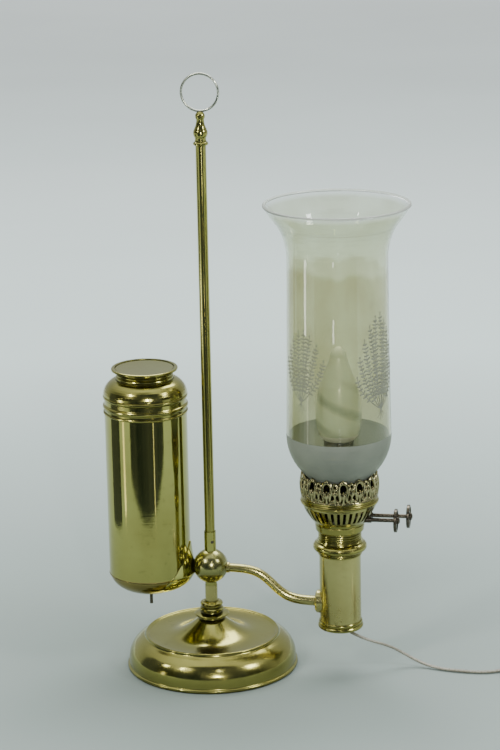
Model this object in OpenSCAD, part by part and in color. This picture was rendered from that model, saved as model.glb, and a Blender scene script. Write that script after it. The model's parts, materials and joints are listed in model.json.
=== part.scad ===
// Student's reading oil lamp in brass, converted to electric light.
// A weighted round foot carries a tall rod. A ball slides and swivels on the rod, and carries
// the oil font's casing on one side and the burner column on the other.
// The origin is at the middle of the foot's underside. +Z is up, and the burner is towards +X.

/* [Stand] */
// Diameter of the foot
base_d = 162.4; // [150:0.2:180]
// Height of the raised step on the foot
base_step_z = 32.8; // [28:0.2:36]
// Diameter of the raised step on the foot
base_step_d = 126.8; // [120:0.2:136]
// Height of the foot's neck, where the turned collar sits
base_neck_z = 47.5; // [44:0.5:52]
// Diameter of the rod
rod_d = 9.6; // [9:0.1:10]
// Height of the rod's top, under the finial
rod_top_z = 500.6; // [440:0.2:560]
// Outside diameter of the carrying ring on the finial
ring_d = 36.2; // [30:0.2:44]
// Thickness of the carrying ring's wire
ring_wire_d = 2.3; // [1.8:0.1:3]

/* [Sliding frame] */
// Height of the ball's centre at its lowest position
ball_z = 98; // [94:0.5:104]
// Diameter of the ball
ball_d = 33; // [30:0.5:35]
// Outside diameter of the sleeve that slides on the rod
sleeve_d = 11.2; // [10.8:0.1:12]
// Distance from the rod to the burner column's axis
burner_x = 123.4; // [116:0.2:130]
// Distance from the rod to the font's axis
font_x = 58.2; // [57.5:0.1:60]
// Height of the arm where it enters the burner column
arm_low_z = 66; // [62:0.5:68]

/* [Font] */
// Outside diameter of the font's casing
casing_d = 77.4; // [76:0.1:78]
// Height of the casing's top rim
casing_top_z = 251; // [240:0.5:260]
// Diameter of the lid
lid_d = 62.4; // [60:0.2:64]

/* [Burner] */
// Diameter of the burner column
column_d = 39; // [38:0.1:40]
// Height of the column's underside
column_foot_z = 41.8; // [40:0.2:43]
// Number of air slots in the burner basket
slot_count = 36; // [24:4:40]
// Diameter of the winder wheels
wheel_d = 22; // [20:0.1:22.6]

/* [Glass shade] */
// Outside diameter of the shade's fitter, which stands in the gallery
fitter_d = 62.6; // [61:0.1:62.8]
// Widest diameter of the shade's body
shade_d = 97.4; // [94:0.2:100]
// Diameter of the shade's flared mouth
mouth_d = 135.6; // [130:0.2:140]
// Height of the shade's mouth
mouth_z = 449; // [430:0.5:460]
// Thickness of the glass
glass_t = 2; // [1.6:0.1:2.4]

/* [Mains lead] */
// Width of the flat twin flex
cord_d = 3.4; // [3:0.1:3.6]
// Diameter of the stored coil at the middle of its turns
coil_d = 41; // [38:0.5:44]

/* [Hidden] */
$fn = 96;
eps = 0.01;

// Parts of the foot, the collar and the finial
base_r = base_d / 2;
step_r = base_step_d / 2;
rod_r = rod_d / 2;
sheet = 1.4;            // brass sheet of the foot
pad_h = 1.2;            // baize under the foot
weight_top_z = 14;
collar_top_z = 63;
running_gap = 0.06;     // between the rod and what slides or turns on it
ring_r = (ring_d - ring_wire_d) / 2;
ring_z = rod_top_z + 30.4 + ring_r + ring_wire_d / 2;

// Parts of the sliding frame
ball_r = ball_d / 2;
sleeve_r = sleeve_d / 2;
sleeve_low_z = 79.2;
sleeve_top_z = 132.5;
stop_r = 5.9;
casing_r = casing_d / 2;
casing_t = 0.9;
casing_low_z = 92;
dish_r = casing_r - 1;
dish_h = 20;
dish_z = casing_low_z - 1;
neck_z = ball_z - 2.5;  // middle of the bracket where it enters the ball
arm_high_z = ball_z - 1.4;
arm_start_x = 12.5;
arm_end_x = burner_x - column_d / 2 - 0.2;
arm_r0 = 4;
arm_r1 = 4.8;
arm_bore_r = arm_r0 + 0.3;

// Parts of the burner, from the column up
column_r = column_d / 2;
column_t = 1.2;
collar_z = 114.8;
socket_z = 130.4;
band_z = 139;
basket_z = 148.6;
lip_z = 164.6;
gallery_z = 166.2;
seat_z = 173;
coronet_top_z = 193.5;
winder_z = 150.8;
winder_y = 6.7;
spindle_r = 1.9;
bush_r = 2.8;
nipple_r = 5;
holder_z = 184;
holder_top_z = 226.5;
bulb_z = 227;
fitter_r = fitter_d / 2;

// Parts of the font
can_r = casing_r - casing_t - 1.3;
can_z = 97;
shoulder_z = casing_top_z + 0.3;
neck_r = 25.6;
neck_low_z = 281;
lid_z = 289;

// The flex: its coil lies flat beyond the column, three turns wide and four high, and a tail
// leads from its outermost turn to the plug
cord_r = cord_d / 2;
coil_r = coil_d / 2;
coil_x = 308;
coil_bundle_w = 3.1 * cord_d;
coil_bundle_h = 3.8 * cord_d;
plug_x = coil_x + coil_r + cord_d;
plug_y = -32;
plug_h = 13;
plug_z = plug_h / 2;

// The flex from the column's underside to the coil, as points chosen along its fall and its run
lead_points = [
  [131, 0, 40], [131.3, -0.3, 38.3], [132.6, -1, 36.8], [135, -1.9, 35.6], [139, -2.9, 34.2],
  [147, -3.6, 31.2], [156, -1.2, 27.4], [165, 3.6, 23], [174, 8.6, 17.4], [183.5, 10.8, 11.4],
  [193.3, 9.7, 6.6], [205, 6.2, 3.2], [220, 1.2, 1.9], [238, -2, 1.8], [254, -2.6, 1.8],
  [266, -0.4, 1.8], [274, 3.6, 1.8], [281.8, 8.4, 1.8]
];
tail_points = [
  [plug_x, -13.4, 10.1], [plug_x, -17, 9.2], [plug_x, -21, 8], [plug_x, -26, 6.9],
  [plug_x, plug_y, plug_z]
];

brass = "#b5a642";
dark_brass = "#6b6238";
iron = "#3c3c3c";
baize = "#2f5a3a";
glass = "#d8dcd02a";
opal = "#f2efe4";
white = "#f0f0ec";

// ---- Geometry that several parts share ----

function lerp(a, b, t) = a + (b - a) * t;
function tanh(x) = (exp(2 * x) - 1) / (exp(2 * x) + 1);
function flip(p) = [for (i = [len(p) - 1:-1:0]) p[i]];
function side(a, b) = (b - a) / norm(b - a);

// The middle of the circle through three points of a profile
function centre3(a, b, c) =
  let (
    d = 2 * (a.x * (b.y - c.y) + b.x * (c.y - a.y) + c.x * (a.y - b.y)),
    qa = a * a,
    qb = b * b,
    qc = c * c
  )
  [
    (qa * (b.y - c.y) + qb * (c.y - a.y) + qc * (a.y - b.y)) / d,
    (qa * (c.x - b.x) + qb * (a.x - c.x) + qc * (b.x - a.x)) / d
  ];

// An arc through three points of a profile, as n + 1 points
function arc3(a, b, c, n = 8) =
  let (
    m = centre3(a, b, c),
    r = norm(a - m),
    t0 = atan2(a.y - m.y, a.x - m.x),
    turn = cross(b - a, c - b) > 0 ? 1 : -1,
    t1 = atan2(c.y - m.y, c.x - m.x),
    sweep = turn > 0 ? (t1 - t0 + 720) % 360 : -((t0 - t1 + 720) % 360)
  )
  [for (i = [0:n]) m + r * [cos(t0 + sweep * i / n), sin(t0 + sweep * i / n)]];

// A bead on a turned part: a half-round that stands out from radius r between heights z0 and z1
function bead(r, z0, z1, out, n = 6) = arc3([r, z0], [r + out, (z0 + z1) / 2], [r, z1], n);

// The inner line of a wall t thick whose outer line is p, listed bottom to top
function inner(p, t) =
  [for (i = [0:len(p) - 1])
    let (
      a = p[max(i - 1, 0)],
      b = p[min(i + 1, len(p) - 1)],
      d = side(a, b)
    )
    p[i] + t * [-d.y, d.x]];

// A turned solid: its outer line goes up, and bore is the radius of its straight hole
module turned(outer, bore = 0) {
  rotate_extrude()
    polygon(concat([[bore, outer[0].y]], outer, [[bore, outer[len(outer) - 1].y]]));
}

// A turned wall of even thickness
module turned_wall(outer, t) {
  rotate_extrude() polygon(concat(outer, flip(inner(outer, t))));
}

module tube(r, bore, z0, z1) {
  translate([0, 0, z0]) difference() {
    cylinder(r = r, h = z1 - z0);
    translate([0, 0, -1]) cylinder(r = bore, h = z1 - z0 + 2);
  }
}

module along_x(x, y = 0, z = 0) {
  translate([x, y, z]) rotate([0, 90, 0]) children();
}

// Faces of a closed skin over n rings of s points each
function skin(n, s) = concat(
  [flip([for (j = [0:s - 1]) j])],
  [for (i = [0:n - 2]) for (j = [0:s - 1])
    let (k = (j + 1) % s)
    each [[i * s + j, i * s + k, (i + 1) * s + k], [i * s + j, (i + 1) * s + k, (i + 1) * s + j]]],
  [[for (j = [0:s - 1]) (n - 1) * s + j]]
);

// A round solid that follows points, with s sides and the radii given for each point
module swept(points, radii, s) {
  last = len(points) - 1;
  rings = [for (i = [0:last])
    let (
      d = side(points[max(i - 1, 0)], points[min(i + 1, last)]),
      across = side([0, 0, 0], abs(d.z) > 0.9 ? cross(d, [0, 1, 0]) : cross(d, [0, 0, 1])),
      up = cross(across, d)
    )
    for (j = [0:s - 1])
      points[i] + radii[i] * (cos(360 * j / s) * across + sin(360 * j / s) * up)];
  polyhedron(rings, skin(last + 1, s), convexity = 6);
}

// ---- Stand ----

// The foot's sheet, from its rolled edge over the dome and the step to the neck
function foot_line() = concat(
  arc3([base_r - 1.6, 0.2], [base_r, 1.9], [base_r - 1.6, 3.6], 6),
  arc3([base_r - 1.7, 4.6], [base_r - 5, 19], [step_r + 1.2, base_step_z - 3], 10),
  [[step_r + 0.2, base_step_z - 2.6]],
  arc3([step_r, base_step_z - 1.8], [step_r - 0.9, base_step_z], [step_r - 2.2, base_step_z - 0.8], 5),
  arc3([step_r - 4, base_step_z - 1.6], [30, base_step_z + 3.2], [11.5, base_neck_z - 2], 12),
  [[11, base_neck_z]]
);

module base_shell() {
  color(brass) turned_wall(foot_line(), sheet);
}

module base_weight() {
  color(iron) difference() {
    translate([0, 0, pad_h]) cylinder(r = base_r - 15, h = weight_top_z - pad_h);
    cylinder(r = rod_r, h = 40);
    cylinder(r = 13, h = 8.2);
  }
}

module base_pad() {
  color(baize) cylinder(r = base_r - 6, h = pad_h);
}

module base_spacer() {
  color(iron) tube(8, rod_r, weight_top_z, base_neck_z);
}

module base_washer() {
  color(iron) tube(11, rod_r, 7, 8.2);
}

module base_nut() {
  color(iron) difference() {
    translate([0, 0, 2]) cylinder(d = 19.6, h = 5, $fn = 6);
    cylinder(r = rod_r, h = 10);
  }
}

module base_collar() {
  z = base_neck_z;
  color(brass) turned(concat(
    [[12, z], [12, z + 0.8], [10, z + 1.6]],
    bead(15.4, z + 2, z + 3.6, 0.9, 5),
    [[9.4, z + 4.6], [9, z + 5.6]],
    bead(9.6, z + 6, z + 9.4, 1.8),
    [[8.6, z + 10], [8.6, z + 11.2]],
    bead(9.2, z + 11.6, z + 14.6, 1.6),
    [[8, z + 14.8], [7.2, collar_top_z]]
  ), rod_r);
}

module rod() {
  color(brass) union() {
    translate([0, 0, 2.4]) cylinder(r = rod_r, h = rod_top_z - 2.4);
    translate([0, 0, rod_top_z]) cylinder(r = 2.5, h = 9);
  }
}

module finial() {
  z = rod_top_z;
  color(brass) difference() {
    turned(concat(
      [[4.9, z]],
      bead(5.6, z + 0.4, z + 3.6, 1.4),
      [[5.2, z + 5], [5.2, z + 7]],
      arc3([5.4, z + 7.6], [6.6, z + 10.8], [5.9, z + 14.6], 6),
      arc3([5.6, z + 15.6], [4.2, z + 19], [3.6, z + 22.6], 5),
      arc3([3.6, z + 24], [4.5, z + 27.2], [0.8, z + 31.4], 7)
    ));
    translate([0, 0, z - 1]) cylinder(r = 2.5, h = 10);
    ring_torus();
  }
}

module ring_torus() {
  translate([0, 0, ring_z]) rotate([90, 0, 0]) rotate_extrude()
    translate([ring_r, 0]) circle(d = ring_wire_d);
}

module carrying_ring() {
  color(brass) ring_torus();
}

// ---- Sliding frame ----

module stop_tube() {
  color(brass) tube(stop_r, rod_r + running_gap, collar_top_z + 0.1, sleeve_low_z - 0.1);
}

module sleeve() {
  color(brass) difference() {
    tube(sleeve_r, rod_r + running_gap, sleeve_low_z, sleeve_top_z);
    screw_place() cylinder(r = 1.5, h = 20, center = true);
  }
}

// The set screw comes in from the front, a little towards the burner
module screw_place() {
  translate([0, 0, ball_z + 24.8]) rotate([90, 0, 30]) translate([0, 0, 8 - eps]) children();
}

module set_screw() {
  color(dark_brass) screw_place() difference() {
    translate([0, 0, -3]) cylinder(r = 1.5, h = 0.6);
    translate([0, 0, -2.9]) cube([0.5, 2.4, 0.6], center = true);
  }
}

module ball() {
  color(brass) difference() {
    translate([0, 0, ball_z]) sphere(r = ball_r);
    cylinder(r = sleeve_r, h = 200);
    along_x(arm_start_x, 0, arm_high_z) cylinder(r = arm_bore_r, h = 10);
  }
}

// The radius of the casing's outside at height z, its domed bottom included
function casing_r_at(z) =
  z >= dish_z ? casing_r : dish_r * sqrt(max(0, 1 - pow((dish_z - z) / dish_h, 2)));
function casing_x(y, z) = -font_x + sqrt(max(0, pow(casing_r_at(z), 2) - y * y));

// The casing's domed bottom, from the valve's opening out to the wall
function dish_line() =
  [for (i = [0:12]) let (t = lerp(8, 90, i / 12)) [dish_r * sin(t), dish_z - dish_h * cos(t)]];

module casing_seam() {
  turned(bead(casing_r, dish_z - 0.4, casing_low_z, 0.4, 4), casing_r - 2);
}

module casing_solid() {
  translate([-font_x, 0, 0]) union() {
    turned(concat(dish_line(), [[casing_r, dish_z], [casing_r, casing_top_z]]));
    casing_seam();
  }
}

// The bracket spreads from a round neck at the ball to a pointed saddle on the casing's foot
bracket_rings = 18;
bracket_sides = 56;
bracket_neck_r = 5;
bracket_flare = 2.4;
saddle_w = 30.5;
saddle_up = 34;
saddle_down = 15.5;
saddle_z = 88;

function bracket_point(t, phi) =
  let (
    spread = pow(t, bracket_flare),
    power = 1 + 0.7 * t * (sin(phi) > 0 ? 1 : 0),
    y = lerp(bracket_neck_r, saddle_w, spread) * sign(cos(phi)) * pow(abs(cos(phi)), power),
    saddle = sin(phi) > 0 ? saddle_up : saddle_down,
    reach = lerp(bracket_neck_r, saddle, spread),
    z = lerp(neck_z, saddle_z, spread) + reach * sign(sin(phi)) * pow(abs(sin(phi)), power)
  )
  [lerp(-14, casing_x(y, z) + 1.2, t), y, z];

module font_bracket() {
  s = bracket_sides;
  n = bracket_rings;
  rings = concat(
    [for (i = [0:n - 1]) for (j = [0:s - 1]) bracket_point(i / (n - 1), 360 * j / s)],
    [for (j = [0:s - 1])
      let (p = bracket_point(1, 360 * j / s))
      [p.x - 4, p.y * 0.98, lerp(saddle_z, p.z, 0.98)]]
  );
  color(brass) difference() {
    polyhedron(rings, skin(n + 1, s), convexity = 8);
    casing_solid();
    translate([0, 0, ball_z]) sphere(r = ball_r);
  }
}

module font_casing() {
  color(brass) translate([-font_x, 0, 0])
    tube(casing_r, casing_r - casing_t, casing_low_z, casing_top_z);
}

module casing_rim() {
  color(brass) translate([-font_x, 0, 0])
    turned(bead(casing_r + 0.2, casing_top_z - 2.4, casing_top_z, 0.8), casing_r);
}

module casing_bottom() {
  color(brass) translate([-font_x, 0, 0]) union() {
    turned_wall(dish_line(), 1);
    casing_seam();
  }
}

// ---- Oil valve in the bottom of the casing ----

pin_low_z = 57.8;
cage_z = 72.35;
cage_top_z = 91;
pin_r = 1.5;
pin_collar_z = 78;

module valve_cage() {
  color(dark_brass) translate([-font_x, 0, 0]) difference() {
    translate([0, 0, cage_z]) cylinder(r = 6, h = cage_top_z - cage_z);
    translate([0, 0, cage_z + 2.4]) cylinder(r = 4.8, h = cage_top_z - cage_z - 3.6);
    cylinder(r = pin_r + running_gap, h = 200);
  }
}

module valve_pin() {
  color(dark_brass) translate([-font_x, 0, 0]) union() {
    translate([0, 0, pin_low_z]) cylinder(r = pin_r, h = cage_top_z + 1.4 - pin_low_z);
    translate([0, 0, pin_collar_z - 1.2]) cylinder(r = 4.4, h = 1.2);
  }
}

module valve_spring() {
  turns = 5;
  steps = 14;
  low = pin_collar_z + 0.5;
  high = cage_top_z - 1.7;
  color("silver") translate([-font_x, 0, 0]) swept(
    [for (i = [0:turns * steps])
      [3.2 * cos(360 * i / steps), 3.2 * sin(360 * i / steps), lerp(low, high, i / (turns * steps))]],
    [for (i = [0:turns * steps]) 0.4],
    6
  );
}

// ---- Arm and burner column ----

// The arm's middle line dips from the ball to the column in an S
arm_steps = 30;
function arm_z(x) =
  let (
    mid = (arm_high_z + arm_low_z) / 2,
    half = (arm_high_z - arm_low_z) / 2
  )
  mid - half * tanh((x - 0.48 * burner_x) / 15.5);

module burner_arm() {
  steps = [for (i = [0:arm_steps]) i / arm_steps];
  points = [for (t = steps) let (x = lerp(arm_start_x, arm_end_x, t)) [x, 0, arm_z(x)]];
  color(brass) difference() {
    swept(points, [for (t = steps) lerp(arm_r0, arm_r1, t)], 24);
    swept(
      concat(
        [points[0] - [2, 0, 0]],
        [for (i = [1:arm_steps - 1]) points[i]],
        [points[arm_steps] + [2, 0, 0]]
      ),
      [for (t = steps) lerp(arm_r0, arm_r1, t) - 1.5],
      12
    );
  }
}

module arm_ferrule() {
  color(brass) difference() {
    along_x(ball_r - 1.2, 0, arm_high_z) cylinder(r = 5.1, h = 2.8);
    along_x(0, 0, arm_high_z) cylinder(r = arm_bore_r, h = 40);
    translate([0, 0, ball_z]) sphere(r = ball_r);
  }
}

module arm_rosette() {
  color(brass) difference() {
    union() {
      along_x(burner_x - column_r - 3.9, 0, arm_low_z) cylinder(r1 = 9.2, r2 = 11, h = 1.6);
      along_x(burner_x - column_r - 2.3, 0, arm_low_z) cylinder(r = 11, h = 6);
    }
    along_x(0, 0, arm_low_z) cylinder(r = arm_r1 + 0.05, h = 200);
    translate([burner_x, 0, 0]) cylinder(r = column_r, h = 200);
  }
}

module at_burner() {
  translate([burner_x, 0, 0]) children();
}

module burner_column() {
  color(brass) at_burner() tube(column_r, column_r - column_t, column_foot_z + 2, 118);
}

module column_foot() {
  z = column_foot_z;
  color(brass) at_burner() difference() {
    union() {
      translate([0, 0, z]) cylinder(r = column_r + 0.6, h = 2);
      turned(concat(
        bead(column_r + 0.5, z, z + 4, 1.4),
        bead(column_r + 0.5, z + 4.2, z + 7.4, 0.7, 5)
      ), column_r);
    }
    grommet_place() cylinder(r = 2.6, h = 10, center = true);
  }
}

// The flex leaves the column through a small bush in its underside
module grommet_place() {
  translate([lead_points[0].x - burner_x, lead_points[0].y, column_foot_z]) children();
}

module cord_grommet() {
  color("dimgray") at_burner() grommet_place() difference() {
    union() {
      translate([0, 0, -1.8]) cylinder(r1 = 2.9, r2 = 3.4, h = 1.8);
      cylinder(r = 2.6, h = 2);
      translate([0, 0, 2]) cylinder(r = 3.4, h = 1);
    }
    translate([0, 0, -3]) cylinder(r = 1.3, h = 10);
  }
}

module cord_lead() {
  color(white) swept(lead_points, [for (p = lead_points) cord_r], 8);
}

module column_collar() {
  z = collar_z;
  color(brass) at_burner() difference() {
    turned(concat(
      [[column_r + 0.8, z]],
      bead(column_r + 0.9, z + 0.4, z + 2, 0.6, 4),
      bead(column_r + 1.4, z + 2.2, z + 3.8, 0.8, 4),
      arc3([column_r + 2.4, z + 4], [column_r + 5.7, z + 6.6], [column_r + 3, z + 11.6], 8),
      bead(column_r + 1.6, z + 12.4, z + 14, 0.7, 4),
      [[column_r + 0.9, socket_z]]
    ), column_r);
  }
}

module burner_socket() {
  ridges = 4;
  pitch = (band_z - socket_z) / ridges;
  color(brass) at_burner() turned(concat(
    [for (i = [0:ridges - 1])
      let (ridge_z = socket_z + i * pitch)
      for (p = bead(column_r + 0.1, ridge_z, ridge_z + pitch, 0.8, 4)) p]
  ), 17.4);
}

module burner_band() {
  color(brass) at_burner() difference() {
    turned([
      [22.2, band_z], [22.6, band_z + 0.5], [23.3, 145],
      [23, 145.6], [23.6, 146.2], [24.6, basket_z]
    ], 17.4);
    translate([0, 0, band_z + 1.2]) cylinder(r1 = 21.4, r2 = 23.4, h = basket_z - band_z);
    bush_holes();
  }
}

module burner_plate() {
  color(dark_brass) at_burner() tube(21.2, nipple_r, band_z + 1.2, band_z + 2.6);
}

module nipple() {
  color(dark_brass) at_burner() tube(nipple_r, 3.4, 130, holder_z + 3);
}

module nipple_nuts() {
  color(dark_brass) at_burner() for (z = [band_z - 2, band_z + 2.6]) {
    translate([0, 0, z]) difference() {
      cylinder(d = 16, h = 3.2, $fn = 6);
      translate([0, 0, -1]) cylinder(r = nipple_r, h = 6);
    }
  }
}

module inner_flex() {
  foot_z = column_foot_z + 6;
  color(white) at_burner() translate([0, 0, foot_z]) cylinder(r = 1.6, h = holder_z - foot_z);
}

// ---- Burner basket, gallery and winders ----

function basket_line() = concat(
  arc3([24.8, basket_z], [31.1, 157.4], [34.4, lip_z], 8),
  [[34.4, gallery_z]]
);

module air_basket() {
  color(brass) at_burner() difference() {
    turned_wall(basket_line(), 1.1);
    for (i = [0:slot_count - 1]) rotate([0, 0, 360 * (i + 0.5) / slot_count])
      translate([20, -1.35, 151.8]) cube([20, 2.7, 12.4]);
    bush_holes();
  }
}

module bush_holes() {
  for (y = [-winder_y, winder_y]) along_x(10, y, winder_z) cylinder(r = bush_r, h = 40);
}

module winder_bushes() {
  color(dark_brass) at_burner() for (y = [-winder_y, winder_y]) difference() {
    along_x(18, y, winder_z) cylinder(r = bush_r, h = 12.5);
    along_x(10, y, winder_z) cylinder(r = spindle_r + running_gap, h = 40);
  }
}

module spindle(y, length) {
  color(dark_brass) at_burner() union() {
    along_x(12.6, y, winder_z) cylinder(r = spindle_r, h = length - 12.6);
    along_x(12.8, y, winder_z) linear_extrude(2.6) difference() {
      circle(r = 4);
      for (i = [0:7]) rotate(45 * i) translate([4, 0]) circle(r = 0.9);
    }
  }
}

module wheel(y, x) {
  edge = 0.5;
  thick = 3;
  web = 2.2;
  hub_r = 3.4;
  wheel_r = wheel_d / 2;
  color(dark_brass) at_burner() along_x(x, y, winder_z) turned([
    [wheel_r - edge, 0], [wheel_r, edge], [wheel_r, thick - edge], [wheel_r - edge, thick],
    [wheel_r - 1.8, thick], [wheel_r - 2.4, web], [hub_r, web],
    [hub_r, hub_long - edge], [hub_r - edge, hub_long]
  ], spindle_r);
}

near_x = 51.8;
far_x = 62.4;
hub_long = 4.6;

module near_spindle() { spindle(-winder_y, near_x + hub_long + 0.6); }
module near_wheel() { wheel(-winder_y, near_x); }
module far_spindle() { spindle(winder_y, far_x + hub_long + 0.6); }
module far_wheel() { wheel(winder_y, far_x); }

module gallery() {
  color(brass) at_burner() difference() {
    turned(concat(
      [[34.4, gallery_z]],
      bead(35.4, gallery_z + 0.2, gallery_z + 3.4, 1.4, 6),
      [[35.6, gallery_z + 3.8], [35, gallery_z + 4.6]],
      bead(35.2, gallery_z + 4.9, seat_z + 0.2, 0.8, 5),
      [[34.9, seat_z + 0.5]]
    ), 24);
    translate([0, 0, gallery_z - 1]) cylinder(r = 33.3, h = seat_z - gallery_z);
    translate([0, 0, seat_z]) cylinder(r = 34.4, h = 5);
  }
}

function coronet_line() =
  concat([[34.9, seat_z + 0.5]], arc3([35.4, seat_z + 1.6], [36, seat_z + 10], [32.9, coronet_top_z], 8));

module coronet() {
  count = 16;
  color(brass) at_burner() difference() {
    turned_wall(coronet_line(), 0.9);
    for (i = [0:count - 1]) {
      rotate([0, 0, 360 * i / count]) along_x(28, 0, seat_z + 6.5) cylinder(r = 3.6, h = 12);
      rotate([0, 0, 360 * (i + 0.5) / count]) along_x(28, 0, seat_z + 13) cylinder(r = 2.6, h = 12);
      rotate([0, 0, 360 * i / count]) along_x(28, 0, coronet_top_z + 1) cylinder(r = 3.2, h = 12);
    }
  }
}

// ---- Lampholder and bulb ----

module lampholder() {
  color(dark_brass) at_burner() difference() {
    translate([0, 0, holder_z]) cylinder(r = 14, h = holder_top_z - holder_z);
    translate([0, 0, holder_z + 1.2]) cylinder(r = 12.9, h = 60);
    cylinder(r = nipple_r, h = 300);
  }
}

module lampholder_ring() {
  color(dark_brass) at_burner() turned(bead(15, 206, 212, 0.9), 14);
}

module lampholder_core() {
  color("dimgray") at_burner() difference() {
    translate([0, 0, holder_z + 4]) cylinder(r = 12.9, h = holder_top_z - holder_z - 5);
    translate([0, 0, 199]) cylinder(r = 7.4, h = 60);
    cylinder(r = 2, h = 300);
  }
}

module bulb_cap() {
  ridges = 6;
  color("silver") at_burner() turned(concat(
    [[2.4, 200.4], [2.6, 202], [6, 203]],
    [for (i = [0:ridges - 1]) for (p = bead(6.4, 204 + 2.82 * i, 206.82 + 2.82 * i, 0.5, 4)) p],
    [[6.9, 222], [6.9, bulb_z]]
  ));
}

module bulb_collar() {
  color(white) at_burner() turned(arc3([14.2, bulb_z], [16.4, bulb_z + 2], [19, bulb_z + 6], 5), 6.9);
}

// The folded discharge tube inside the candle-shaped cover
module bulb_tube() {
  turns = 3;
  steps = 16;
  color(white) at_burner() swept(
    [for (i = [0:turns * steps])
      let (t = i / (turns * steps))
      [9 * cos(360 * i / steps), 9 * sin(360 * i / steps), lerp(bulb_z + 12, bulb_z + 56, t)]],
    [for (i = [0:turns * steps]) 3.2],
    8
  );
}

function globe_line() = concat(
  arc3([19, bulb_z + 6], [21.4, bulb_z + 24], [18.2, bulb_z + 50], 9),
  arc3([17.4, bulb_z + 53], [12.6, bulb_z + 65], [8.2, bulb_z + 77], 5),
  arc3([7.6, bulb_z + 79], [5.4, bulb_z + 85.4], [1.2, bulb_z + 88.6], 5)
);

module bulb_globe() {
  outer_line = globe_line();
  inner_line = inner(outer_line, 1);
  last = len(outer_line) - 1;
  color(opal) at_burner() rotate_extrude() polygon(concat(
    outer_line,
    [[0, outer_line[last].y + 0.2], [0, outer_line[last].y - 1.2]],
    flip([for (i = [0:last - 1]) inner_line[i]])
  ));
}

// ---- Glass shade ----

function shade_line() = concat(
  [[fitter_r, seat_z + 0.3], [fitter_r, 193]],
  arc3([fitter_r + 0.3, 194], [42.7, 208], [shade_d / 2, 233], 10),
  arc3([shade_d / 2 - 0.1, 240], [47.5, 300], [46.4, 392], 4),
  arc3([46.4, 400], [48.6, 415], [54.6, 429], 6),
  arc3([56.4, 431.6], [61.6, 438.8], [mouth_d / 2 - 0.6, mouth_z - 1], 5)
);

module glass_shade() {
  color(glass) at_burner() union() {
    turned_wall(shade_line(), glass_t);
    rotate_extrude() translate([mouth_d / 2 - 1.5, mouth_z - 1.2]) circle(r = 1.35);
  }
}

// ---- Font ----

module at_font() {
  translate([-font_x, 0, 0]) children();
}

module font_can() {
  color(brass) at_font() difference() {
    turned([[11, can_z], [can_r - 1, can_z + 6], [can_r, can_z + 8], [can_r, 262]]);
    translate([0, 0, can_z + 0.8]) cylinder(r1 = 11, r2 = can_r - 1.2, h = 6.2);
    translate([0, 0, can_z + 7 - eps]) cylinder(r = can_r - 0.8, h = 200);
    cylinder(r = 6, h = 200);
  }
}

module font_mouth() {
  color(dark_brass) at_font() difference() {
    tube(10, 6, can_z - 3, can_z);
    translate([0, 0, can_z - 3.4]) cylinder(r1 = 8, r2 = 6, h = 1.6);
  }
}

function shoulder_line() = concat(
  [[can_r, shoulder_z], [casing_r - 0.2, shoulder_z]],
  [[casing_r - 0.2, shoulder_z + 1.6]],
  bead(casing_r, shoulder_z + 2.4, shoulder_z + 6.4, 1.3),
  [[casing_r - 0.4, shoulder_z + 7.2], [casing_r - 0.6, shoulder_z + 11]],
  bead(casing_r + 0.1, shoulder_z + 11.8, shoulder_z + 15, 0.9, 5),
  arc3([casing_r + 0.6, shoulder_z + 15.4], [36, 275.4], [27.2, neck_low_z], 9)
);

module font_shoulder() {
  color(brass) at_font() difference() {
    turned(concat(shoulder_line(), [[neck_r, neck_low_z]]), neck_r - 1.2);
    translate([0, 0, 262]) cylinder(r1 = can_r - 0.8, r2 = neck_r - 1.2, h = neck_low_z - 1.2 - 262);
    translate([0, 0, shoulder_z - 1]) cylinder(r = can_r, h = 262 - shoulder_z + 1);
  }
}

module font_neck() {
  z = neck_low_z;
  color(brass) at_font() turned(concat(
    [[neck_r + 0.9, z]],
    bead(neck_r + 0.6, z + 0.4, z + 2.8, 0.9, 5),
    [[neck_r, z + 3.4]],
    bead(neck_r + 0.4, z + 3.8, z + 5.6, 0.7, 5),
    [[neck_r, z + 6.2], [neck_r, lid_z - 0.2]]
  ), neck_r - 1.2);
}

// The lid's top is a dished plate inside a raised rim, with a turned groove between the two
module font_lid() {
  r = lid_d / 2;
  plate_r = r - 4.4;
  plate_z = lid_z + 1.9;
  dish = 0.35;
  groove = 0.6;
  color(brass) at_font() difference() {
    union() {
      turned([[neck_r - 1.6, lid_z - 3], [neck_r - 1.6, lid_z]]);
      turned(concat(
        [[r - 1.4, lid_z]],
        arc3([r - 0.9, lid_z + 0.1], [r, lid_z + 1.4], [r - 1.2, lid_z + 2.6], 6)
      ));
    }
    turned(concat(
      arc3([1, plate_z - dish], [plate_r / 2, plate_z - 0.75 * dish], [plate_r, plate_z], 8),
      [[plate_r, plate_z - groove], [plate_r + 0.8, plate_z - groove], [plate_r + 0.8, plate_z]],
      [[plate_r + 1.2, lid_z + 3]]
    ));
    translate([0, 0, lid_z - 4]) cylinder(r = neck_r - 2.6, h = 4.4);
  }
}

// ---- Stored coil and plug ----

module cord_coil() {
  edge = 2.4;
  w = coil_bundle_w / 2 - edge;
  h = coil_bundle_h / 2 - edge;
  color(white) translate([coil_x, 0, coil_bundle_h / 2]) rotate_extrude()
    translate([coil_r, 0]) polygon([for (q = [0:3]) for (i = [0:4])
      let (t = 90 * q + 22.5 * i)
      [(q == 0 || q == 3 ? w : -w) + edge * cos(t), (q < 2 ? h : -h) + edge * sin(t)]]);
}

module cord_tail() {
  color(white) swept(tail_points, [for (p = tail_points) cord_r], 8);
}

module plug_body() {
  color(white) translate([plug_x, plug_y, plug_z]) union() {
    rotate([90, 0, 0]) cylinder(r1 = 2.4, r2 = 3.3, h = 14);
    hull() {
      translate([-6, -18, -4.8]) cube([12, 6, 9.6]);
      translate([-13, -36, -plug_z]) cube([26, 8, plug_h]);
    }
  }
}

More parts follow.
